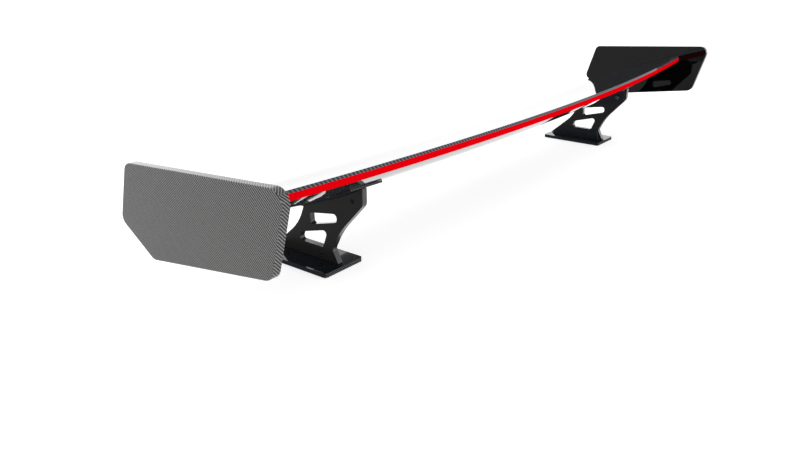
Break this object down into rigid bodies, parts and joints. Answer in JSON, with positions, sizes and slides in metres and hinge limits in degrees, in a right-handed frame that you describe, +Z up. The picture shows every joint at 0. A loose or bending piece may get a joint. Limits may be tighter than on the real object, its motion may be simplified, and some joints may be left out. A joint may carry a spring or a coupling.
{
  "type": "racing rear wing",
  "caption": "Swept carbon rear wing blade on two windowed uprights, with a full-width red light bar in the trailing edge and chamfered end plates.",
  "frame": {"origin": "on the surface the feet stand on, under the middle of the whole wing's bounding box", "axes": "+Z up, +Y towards the front of the car (leading edge), +X towards its right, along the span"},
  "size_m": [1.4, 0.3004, 0.2108],
  "materials": {
    "carbon_gloss": "clear-coated 2x2 twill carbon, high gloss",
    "carbon_satin": "satin black plate",
    "carbon_plain": "uncoated laminate",
    "foam_core": "closed-cell foam",
    "lens_red": "translucent red lens, lit",
    "aluminium": "extruded, satin",
    "circuit_board": "solder mask",
    "black_steel": "black oxide",
    "plated_steel": "zinc plated",
    "rubber": "foam rubber pad"
  },
  "bodies": {
    "root": {"blade_lower_skin": "carbon_gloss", "blade_spar": "carbon_plain", "blade_upper_skin": "carbon_gloss", "centre_rib": "foam_core", "end_rib_left": "foam_core", "end_rib_right": "foam_core", "endplate_core_left": "foam_core", "endplate_core_right": "foam_core", "endplate_dowel_left_front": "plated_steel", "endplate_dowel_left_rear": "plated_steel", "endplate_dowel_right_front": "plated_steel", "endplate_dowel_right_rear": "plated_steel", "endplate_inner_skin_left": "carbon_gloss", "endplate_inner_skin_right": "carbon_gloss", "endplate_shell_left": "carbon_gloss", "endplate_shell_right": "carbon_gloss", "foot_insert_left_front": "plated_steel", "foot_insert_left_rear": "plated_steel", "foot_insert_right_front": "plated_steel", "foot_insert_right_rear": "plated_steel", "foot_left": "carbon_gloss", "foot_pad_left": "rubber", "foot_pad_right": "rubber", "foot_right": "carbon_gloss", "hardpoint_left": "aluminium", "hardpoint_right": "aluminium", "light_board": "circuit_board", "light_channel": "aluminium", "light_lens": "lens_red", "nut_left": "plated_steel", "nut_right": "plated_steel", "saddle_left": "carbon_satin", "saddle_right": "carbon_satin", "saddle_screw_left_inboard_front": "black_steel", "saddle_screw_left_inboard_rear": "black_steel", "saddle_screw_left_outboard_front": "black_steel", "saddle_screw_left_outboard_rear": "black_steel", "saddle_screw_right_inboard_front": "black_steel", "saddle_screw_right_inboard_rear": "black_steel", "saddle_screw_right_outboard_front": "black_steel", "saddle_screw_right_outboard_rear": "black_steel", "screw_left_foot_front": "black_steel", "screw_left_foot_rear": "black_steel", "screw_left_top": "black_steel", "screw_right_foot_front": "black_steel", "screw_right_foot_rear": "black_steel", "screw_right_top": "black_steel", "upright_left": "carbon_satin", "upright_right": "carbon_satin", "washer_left": "black_steel", "washer_right": "black_steel"}
  },
  "joints": []
}
